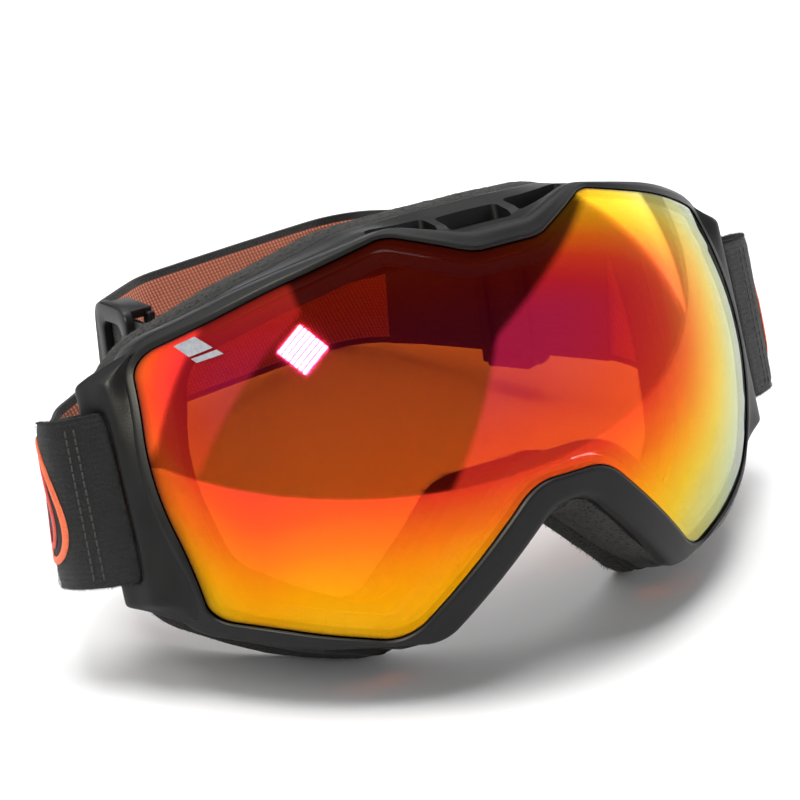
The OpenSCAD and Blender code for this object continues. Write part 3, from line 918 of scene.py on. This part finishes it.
def end_line(side):
    """Centre line of the sewn end: from its tail round the bar, out of the slot and outwards."""
    plan = [(-CUT_X + 0.4, 6.3, 0), (-91.4, 10.1, 2.6), (-87, 9.2, 2.2), (-86.9, -1.1, 1.8),
            (-CUT_X, 4.0, 0)]
    path = open_path(plan, PATH_STEP)
    far = 16 if side < 0 else 20
    lean = math.degrees(LEAN)
    share = np.clip((-91 - path[:, 0]) / (CUT_X - 91), 0, 1)
    t = lean + (far - lean) * share
    a = np.radians(t)
    return np.stack([path[:, 0] * -side, AXIS_Y + path[:, 1] * np.cos(a),
                     AXIS_Z - path[:, 1] * np.sin(a), t], 1)


def strap_lines():
    """The whole visible strap as three runs that meet: left end, middle, right end."""
    lines, joins = {}, {}
    for side, fold, bend in ((-1, FOLD_LEFT, BEND_LEFT), (1, FOLD_RIGHT, BEND_RIGHT)):
        joins[side] = (*blend(np.array(fold[:2]), np.array(bend[:2]), 0.62), 0)
        run = band_line([(side * (CUT_X + 1.0), -36.6, 0), fold, joins[side]])
        both = resampled(np.concatenate([end_line(side), run]), PATH_STEP)
        loop_rows = int(np.argmin(np.abs(both[:, 0]))) + 4
        eased = relaxed(both, 6)
        eased[:loop_rows] = relaxed(both, 1)[:loop_rows]
        lines[side] = eased
    middle = run_line([joins[-1], BEND_LEFT, RUN_START, (RUN_X, 54.5, 8), BULGE_BACK,
                       BEND_BACK, BEND_RIGHT, joins[1]], 1)
    middle[0], middle[-1] = lines[-1][-1], lines[1][-1]
    return lines, middle


def strap_axes(line):
    """Centre points, how far along each lies, and the webbing's own upward direction."""
    centre, t = line[:, :3], np.radians(line[:, 3])
    return centre, arc_length(centre), np.stack([np.zeros(len(t)), np.sin(t), np.cos(t)], 1)


def strap_mesh(name, line, body, node, outer_sign=1, width=STRAP_W, shift=0, outer=None,
               inner=None, wave=0.0, seed=0, columns=22):
    """A band along a line: outer and inner faces have their own material, and edges are black."""
    centre, arc, up = strap_axes(line)
    d = np.gradient(centre, axis=0)
    d = unit(d - up * (d * up).sum(1, keepdims=True))
    side = np.cross(up, d) * outer_sign
    share = np.linspace(-1, 1, columns)
    # The section thins towards its two edges
    height = (1 - 0.55 * np.abs(share) ** 14) * STRAP_T / 2
    across = share * width / 2
    phases = np.random.default_rng(seed).uniform(0, 6.28, 4)
    ripple = wave * (np.sin(arc / 9 + phases[0]) * 0.5 + np.sin(arc / 23 + phases[1]))
    n, m = len(centre), columns
    verts, weave = [], []
    for sign in (1, -1):
        for k in range(m):
            off = shift + sign * height[k] + ripple * (across[k] / (width / 2)) ** 2
            verts.append(centre + up * across[k] + side * off[:, None])
            weave.append(np.stack([arc, np.full(n, across[k]), np.zeros(n)], 1))
    strips = [((s * m + k) * n, (s * m + k + 1) * n, 2 if k < 1 or k >= m - 2 else s)
              for s in (0, 1) for k in range(m - 1)]
    strips += [(k * n, (m + k) * n, 2) for k in (0, m - 1)]
    faces, kinds = [], []
    for a, b, kind in strips:
        faces += strip_faces(a, b, n)
        kinds += [kind] * (n - 1)
    ends = [(k * n + i, (k + 1) * n + i, (m + k + 1) * n + i, (m + k) * n + i)
            for i in (0, n - 1) for k in range(m - 1)]
    obj = make_object(name, np.concatenate(verts), faces + ends, outer or MAT_STRAP,
                      smooth_angle=55)
    add_materials(obj, kinds + [2] * len(ends), inner or MAT_KNIT, MAT_STRAP)
    set_weave(obj, weave)
    finish_piece(obj, body, [node])


def across_slot():
    """Leaves a piece beside one slot where it stands, with its placement baked into its mesh."""
    def apply(obj):
        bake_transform(obj)
    return apply


def straps():
    lines, middle = strap_lines()
    for side in (-1, 1):
        node = f"strap_end_{SIDE_NAME[side]}"
        strap_mesh(f"{node}_loop", lines[side], across_slot(), node, -side)
    strap_mesh("strap_webbing", middle, "strap", "strap_band", wave=0.05, seed=4)
    left = run_line([(-67.5, 4.4, 0), RUN_START, (RUN_X, 48.6, 0)], 1)
    right = run_line([(57.9, 79.6, 0), (*RIGHT_RUN, 9), (86.5, 12, 0)], 0)
    for node, line in (("strap_return_left", left), ("strap_return_right", right)):
        strap_mesh(f"{node}_webbing", line, "strap", node, width=STRAP_W - 1,
                   shift=-STRAP_T - 0.1, outer=MAT_KNIT, inner=MAT_STRAP)
    return lines


# ---- adjusters

SLIDER_W = 18.0
SLIDER_H = 48.0
SLIDER_DEEP = 2.4
SLIDER_FRONT = STRAP_T / 2 + 0.35
SLIDER_BACK = -STRAP_T * 1.5 - 0.45
SLIDER_OPEN = STRAP_W + 1.4
SLIDER_SOFT = 0.55


def rounded_outline(w, h, r, steps=6):
    points = []
    for cx, cz, start in ((w / 2 - r, h / 2 - r, 0), (-w / 2 + r, h / 2 - r, 90),
                          (-w / 2 + r, -h / 2 + r, 180), (w / 2 - r, -h / 2 + r, 270)):
        for k in range(steps + 1):
            a = math.radians(start + 90 * k / steps)
            points.append((cx + r * math.cos(a), cz + r * math.sin(a)))
    return points


def slider_frame(bm):
    """The outer frame with its window, as one loop of outlines with eased front edges."""
    top = SLIDER_FRONT + SLIDER_DEEP
    ease = [(0, SLIDER_FRONT), (0, top - SLIDER_SOFT),
            (SLIDER_SOFT * 0.3, top - SLIDER_SOFT * 0.3), (SLIDER_SOFT, top)]
    loops = [(rounded_outline(SLIDER_W - 2 * c, SLIDER_H - 2 * c, 4 - c), y) for c, y in ease]
    loops += [(rounded_outline(SLIDER_W - 7.6 + 2 * c, SLIDER_OPEN - 3 + 2 * c, 2.5 + c), y)
              for c, y in reversed(ease)]
    lines = [[bm.verts.new((x, y, z)) for x, z in points] for points, y in loops]
    for a, b in zip(lines, lines[1:] + lines[:1]):
        for i in range(len(a)):
            k = (i + 1) % len(a)
            bm.faces.new((a[i], a[k], b[k], b[i]))


def slider_bars(bm):
    """Two bars behind the strap, and the two end blocks that hold them to the frame."""
    front = SLIDER_FRONT + 0.2
    boxes = [((s * (SLIDER_W / 2 - 2.2), SLIDER_BACK - 1, 0), (3.6, 2, SLIDER_H - 4))
             for s in (-1, 1)]
    boxes += [((0, (front + SLIDER_BACK - 2) / 2, s * (SLIDER_OPEN / 2 + 1.2)),
               (SLIDER_W - 4, front - SLIDER_BACK + 2, 2.4)) for s in (-1, 1)]
    for centre, size in boxes:
        made = bmesh.ops.create_cube(bm, size=1.0)["verts"]
        bmesh.ops.scale(bm, vec=Vector(size), verts=made)
        bmesh.ops.translate(bm, vec=Vector(centre), verts=made)
        edges = list(dict.fromkeys(e for v in made for e in v.link_edges))
        bmesh.ops.bevel(bm, geom=edges, offset=0.4, segments=3, profile=0.5, affect="EDGES")


def adjuster(side, place):
    bm = bmesh.new()
    slider_frame(bm)
    slider_bars(bm)
    bmesh.ops.recalc_face_normals(bm, faces=bm.faces)
    name = SIDE_NAME[side]
    mesh = mesh_of(bm, f"adjuster_{name}")
    mesh.transform(Matrix.Scale(MM, 4) @ place)
    shade(mesh, 50)
    mesh.materials.append(MAT_SLIDER)
    finish_piece(linked(mesh.name, mesh), f"slider_{name}", [f"slider_{name}"])


def on_path(x, y):
    """Moves a piece from the origin to the strap's centre line at x, y."""
    return Matrix.Translation((x, y + SEAT_Y, float(drop(y)) + SEAT_Z))


def adjusters():
    heading = math.atan2(-128.5, 54.4)
    rise = math.atan(SLOPE * math.sin(-heading))
    cant = -math.asin(math.sin(math.radians(5)) * math.cos(heading))
    adjuster(-1, on_path(RUN_X, 35.1) @ Matrix.Rotation(math.pi / 2, 4, "Z")
             @ Matrix.Rotation(math.atan(SLOPE), 4, "Y"))
    adjuster(1, on_path(*RIGHT_RUN) @ Matrix.Rotation(heading, 4, "Z")
             @ Matrix.Rotation(-rise, 4, "Y") @ Matrix.Rotation(cant, 4, "X"))


# ---- sewing

def on_strap(line, s, h, off, outer_sign):
    """Points on a strap's surface: s along the line in mm, h across it, off from its centre."""
    centre, arc, up = strap_axes(line)
    d = unit(np.gradient(centre, axis=0))
    side = np.cross(up, d) * outer_sign

    def at(rows):
        return np.stack([np.interp(s, arc, rows[:, k]) for k in range(3)], -1)
    return at(centre) + at(up) * np.asarray(h)[..., None] + at(side) * np.asarray(off)[..., None]


def thread_tube(points, normals, radius, sides=6):
    """A thin rounded rope of thread along a closed or open line of points."""
    d = unit(np.gradient(points, axis=0))
    n = unit(normals - d * (normals * d).sum(1, keepdims=True))
    b = np.cross(d, n)
    angles = np.arange(sides) * 2 * math.pi / sides
    return np.concatenate([points + (n * math.sin(a) * radius * 0.7 + b * math.cos(a) * radius)
                           for a in angles])


def embroidery(side, lines):
    """Generic raised outline on the strap's outer face round the fold: two nested long loops."""
    line = lines[side]
    fold = arc_length(line[:, :3])[np.argmax(np.abs(line[:, 0]))]
    verts, faces, kinds, weave = [], [], [], []
    sides, count = 8, 260
    for kind, (length, tall, radius, lean) in enumerate(((6.4, 14.6, 0.95, 0.12),
                                                         (3.8, 11.2, 0.7, 0.10))):
        a = np.linspace(0, 2 * math.pi, count, endpoint=False)
        sx = np.sign(np.cos(a)) * np.abs(np.cos(a)) ** 0.75
        h = 1.5 + tall * np.sin(a)
        s = fold + 3.4 + length * sx * (1 + 0.12 * np.sin(2 * a)) + lean * h
        middle = on_strap(line, s, h, STRAP_T / 2 + 0.25, -side)
        above = on_strap(line, s, h, STRAP_T / 2 + 1.25, -side)
        n = unit(above - middle)
        d = unit(np.roll(middle, -1, 0) - np.roll(middle, 1, 0))
        b = np.cross(d, n)
        base = sum(len(v) for v in verts)
        run = arc_length(middle)
        for k in range(sides):
            w = 2 * math.pi * k / sides
            verts.append(middle + n * math.sin(w) * radius * 0.42 + b * math.cos(w) * radius)
            weave.append(np.stack([run, np.full(count, k * 0.2), np.zeros(count)], 1))
            faces += closed_strip(base + k * count, base + (k + 1) % sides * count, count)
        kinds += [kind] * sides * count
    node = f"embroidery_{SIDE_NAME[side]}"
    obj = make_object(f"{node}_outline", np.concatenate(verts), faces, MAT_STITCH)
    add_materials(obj, kinds, MAT_STITCH_RED)
    set_weave(obj, weave)
    finish_piece(obj, across_slot(), [node])


def front_place(line, x):
    """How far along the line its front ply passes x."""
    reach = np.abs(line[:, 0])
    arc = arc_length(line[:, :3])
    first, last = int(np.argmin(reach)), int(np.argmax(reach))
    return float(np.interp(x, reach[first:last], arc[first:last]))


def end_stitches(side, lines):
    """Rows of single stitches that hold the turned strap end."""
    line = lines[side]
    verts, faces = [], []
    rings, sides = 5, 6
    bow = 0.12 * np.cos(np.linspace(-1.4, 1.4, rings))
    for row in (front_place(line, 94.6), front_place(line, 96.4)):
        for h in np.arange(-17.2, 17.3, 2.0):
            across = h + np.linspace(-0.75, 0.75, rings)
            points = on_strap(line, row, across, STRAP_T / 2 + bow, -side)
            above = on_strap(line, row, across, STRAP_T / 2 + 1 + bow, -side)
            faces += block_faces(sides, rings, len(verts) * sides * rings)
            verts.append(thread_tube(points, above - points, 0.24, sides))
    name = SIDE_NAME[side]
    make_object(f"end_stitches_{name}", np.concatenate(verts), faces, MAT_THREAD,
                across_slot(), [f"end_stitching_{name}"])


def strap_lint(side, lines):
    """Brushed fibres that stand off the strap's outer face and its two edges."""
    line = lines[side]
    length = arc_length(line[:, :3])[-1]
    rng = np.random.default_rng(60 + side)
    count = 7000
    s = rng.uniform(front_place(line, 89.5), length - 0.5, count)
    on_edge = rng.random(count) < 0.45
    edge_side = rng.choice([-1.0, 1.0], count)
    h = np.where(on_edge, edge_side * 19.9, rng.uniform(-19.6, 19.6, count))
    off = np.where(on_edge, rng.uniform(-0.7, 0.7, count), STRAP_T / 2 - 0.03)
    root = on_strap(line, s, h, off, -side)
    above = on_strap(line, s, h + on_edge * edge_side, off + ~on_edge, -side)
    direction = unit(unit(above - root) * 0.7 + rng.normal(0, 0.6, (count, 3)))
    tip = root + direction * rng.uniform(0.25, 0.85, (count, 1))
    fibres(f"strap_lint_{SIDE_NAME[side]}", root, tip, 0.03, rng, MAT_STRAP, across_slot())


# ---- studio

def direction(azimuth, elevation):
    """Azimuth 0 is -Y, the side that the lens faces, and negative is towards -X."""
    a, e = math.radians(azimuth), math.radians(elevation)
    return Vector((math.sin(a) * math.cos(e), -math.cos(a) * math.cos(e), math.sin(e)))


# Soft panels round the goggles, in azimuth and elevation: strength, a direction inside the
# panel, and its edges as two directions each
PANELS = [
    (0.55, (-110, 20), [((-77, 0), (-52, 55)), ((-77, 62), (-150, 62)), ((-152, 0), (-160, 60))]),
    (0.85, (60, 20), [((0, 8), (20, 35)), ((21, 36), (75, 36)), ((140, 0), (140, 40))]),
    (1.8, (180, 50), [((118, 15), (242, 15)), ((90, 0), (90, 80)), ((-90, 0), (-90, 80))])]


def panel_light(n, where, strength, inside, edges):
    """A panel's light: each edge's plane cuts off the half that inside isn't in."""
    light = None
    for a, b in edges:
        normal = direction(*a).cross(direction(*b))
        if normal.dot(direction(*inside)) < 0:
            normal = -normal
        normal.normalize()
        dot = n.add("ShaderNodeVectorMath", {0: where, 1: tuple(normal)},
                    operation="DOT_PRODUCT").outputs["Value"]
        mask = n.maths("MULTIPLY_ADD", dot, 28.0, 0.5, clamp=True)
        light = n.times(light, mask) if light else mask
    return n.times(light, strength)


def room():
    """Pale floor and surroundings: three soft panels, a bright patch overhead, dim elsewhere."""
    bpy.ops.mesh.primitive_grid_add(x_subdivisions=8, y_subdivisions=8, size=60)
    floor = bpy.context.object
    floor.name = "floor"
    floor.data.materials.append(pale_floor())
    world = bpy.data.worlds.new("studio")
    bpy.context.scene.world = world
    world.use_nodes = True
    n = Nodes("studio", world.node_tree)
    where = n.add("ShaderNodeTexCoord").outputs["Generated"]
    parts = [panel_light(n, where, *panel) for panel in PANELS]
    high = n.maths("GREATER_THAN", n.add("ShaderNodeSeparateXYZ", {0: where}).outputs[2], 0.965)
    light = parts[0]
    for part in parts[1:] + [n.times(high, 10.5), 0.10]:
        light = n.plus(light, part)
    # What is seen directly behind the goggles is plain white
    light = n.maths("MAXIMUM", light, n.add("ShaderNodeLightPath").outputs["Is Camera Ray"])
    background = n.add("ShaderNodeBackground", {"Color": (1, 1, 1, 1), "Strength": light})
    out = n.add("ShaderNodeOutputWorld")
    n.tree.links.new(background.outputs[0], out.inputs["Surface"])


def glint():
    """A small slatted light, like a window blind, that shows in the lens."""
    towards = direction(-50, 40)
    turn = towards.to_track_quat("Z", "Y").to_matrix().to_4x4() @ Matrix.Rotation(-0.51, 4, "Z")
    for slat in range(7):
        lamp = bpy.data.lights.new(f"slat_{slat}", "AREA")
        lamp.shape, lamp.size, lamp.size_y, lamp.energy = "RECTANGLE", 0.022, 0.20, 3.0
        lamp.color = (1.0, 0.97, 0.80)
        obj = linked(f"slat_{slat}", lamp)
        obj.visible_diffuse = False
        shift = Matrix.Translation(((slat - 3) * 0.031, 0, 0))
        obj.matrix_world = Matrix.Translation(Vector((0, 0, 0.05)) + towards * 1.2) @ turn @ shift


# In mm in the resting pose; roll in degrees; focal length in mm on a 36 mm sensor
CAMERA_PLACE = (-351.33, -602.83, 367.74)
CAMERA_AIM = (8.26, -4.97, 32.46)
CAMERA_ROLL = -1.143
CAMERA_LENS = 136.71


def camera():
    """The photograph's viewpoint, turned a little so that the object lies as it does there."""
    place, aim = Vector(CAMERA_PLACE) * MM, Vector(CAMERA_AIM) * MM
    data = bpy.data.cameras.new("camera")
    data.sensor_width = 36
    data.lens = CAMERA_LENS
    data.clip_start, data.clip_end = 0.01, 100
    cam = linked("camera", data)
    level = (place - aim).to_track_quat("Z", "Y").to_matrix().to_4x4()
    cam.matrix_world = (Matrix.Translation(place) @ level
                        @ Matrix.Rotation(math.radians(CAMERA_ROLL), 4, "Z"))
    bpy.context.scene.camera = cam


camera()
room()
glint()
lenses()
lens_tag()
frame_moulding()
for arm_side in (-1, 1):
    side_arm(arm_side)
face_foam()
nose_foam()
fleece_fibres()
vent_foams()
strap_runs = straps()
adjusters()
for strap_side in (-1, 1):
    embroidery(strap_side, strap_runs)
    end_stitches(strap_side, strap_runs)
    strap_lint(strap_side, strap_runs)

bpy.context.scene.view_settings.view_transform = "Standard"
